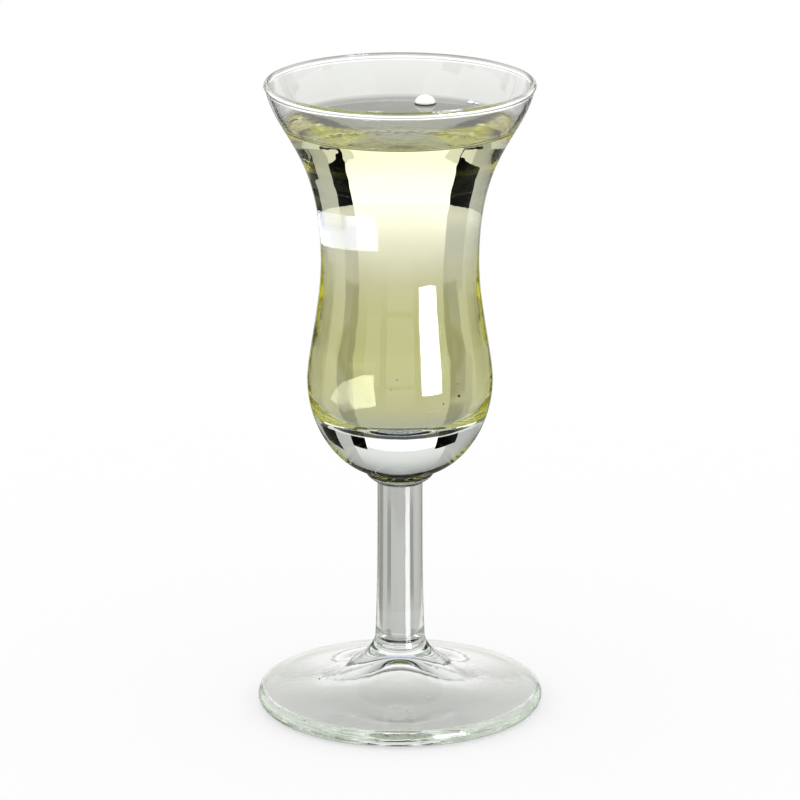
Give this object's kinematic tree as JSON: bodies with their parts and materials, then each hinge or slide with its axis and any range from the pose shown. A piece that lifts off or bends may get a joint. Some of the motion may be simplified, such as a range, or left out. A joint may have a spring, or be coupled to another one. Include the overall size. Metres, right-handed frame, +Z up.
{
  "type": "cordial glass",
  "caption": "Small stemmed drinking glass with a flared, waisted bowl, a thick clear base, a plain stem and a domed foot, filled with a pale drink.",
  "frame": {"origin": "on the table at the middle of the foot's resting ring", "axes": "+Z up along the glass's axis, from the foot to the rim; the glass is round about it, so +X and +Y are any two square directions along the table"},
  "size_m": [0.0584, 0.0584, 0.1307],
  "materials": {
    "bowl_glass": "polished",
    "stem_glass": "polished",
    "foot_glass": "polished",
    "drink": "polished"
  },
  "bodies": {
    "root": {"bowl": "bowl_glass", "stem": "stem_glass", "foot": "foot_glass", "drink": "drink"}
  },
  "joints": []
}
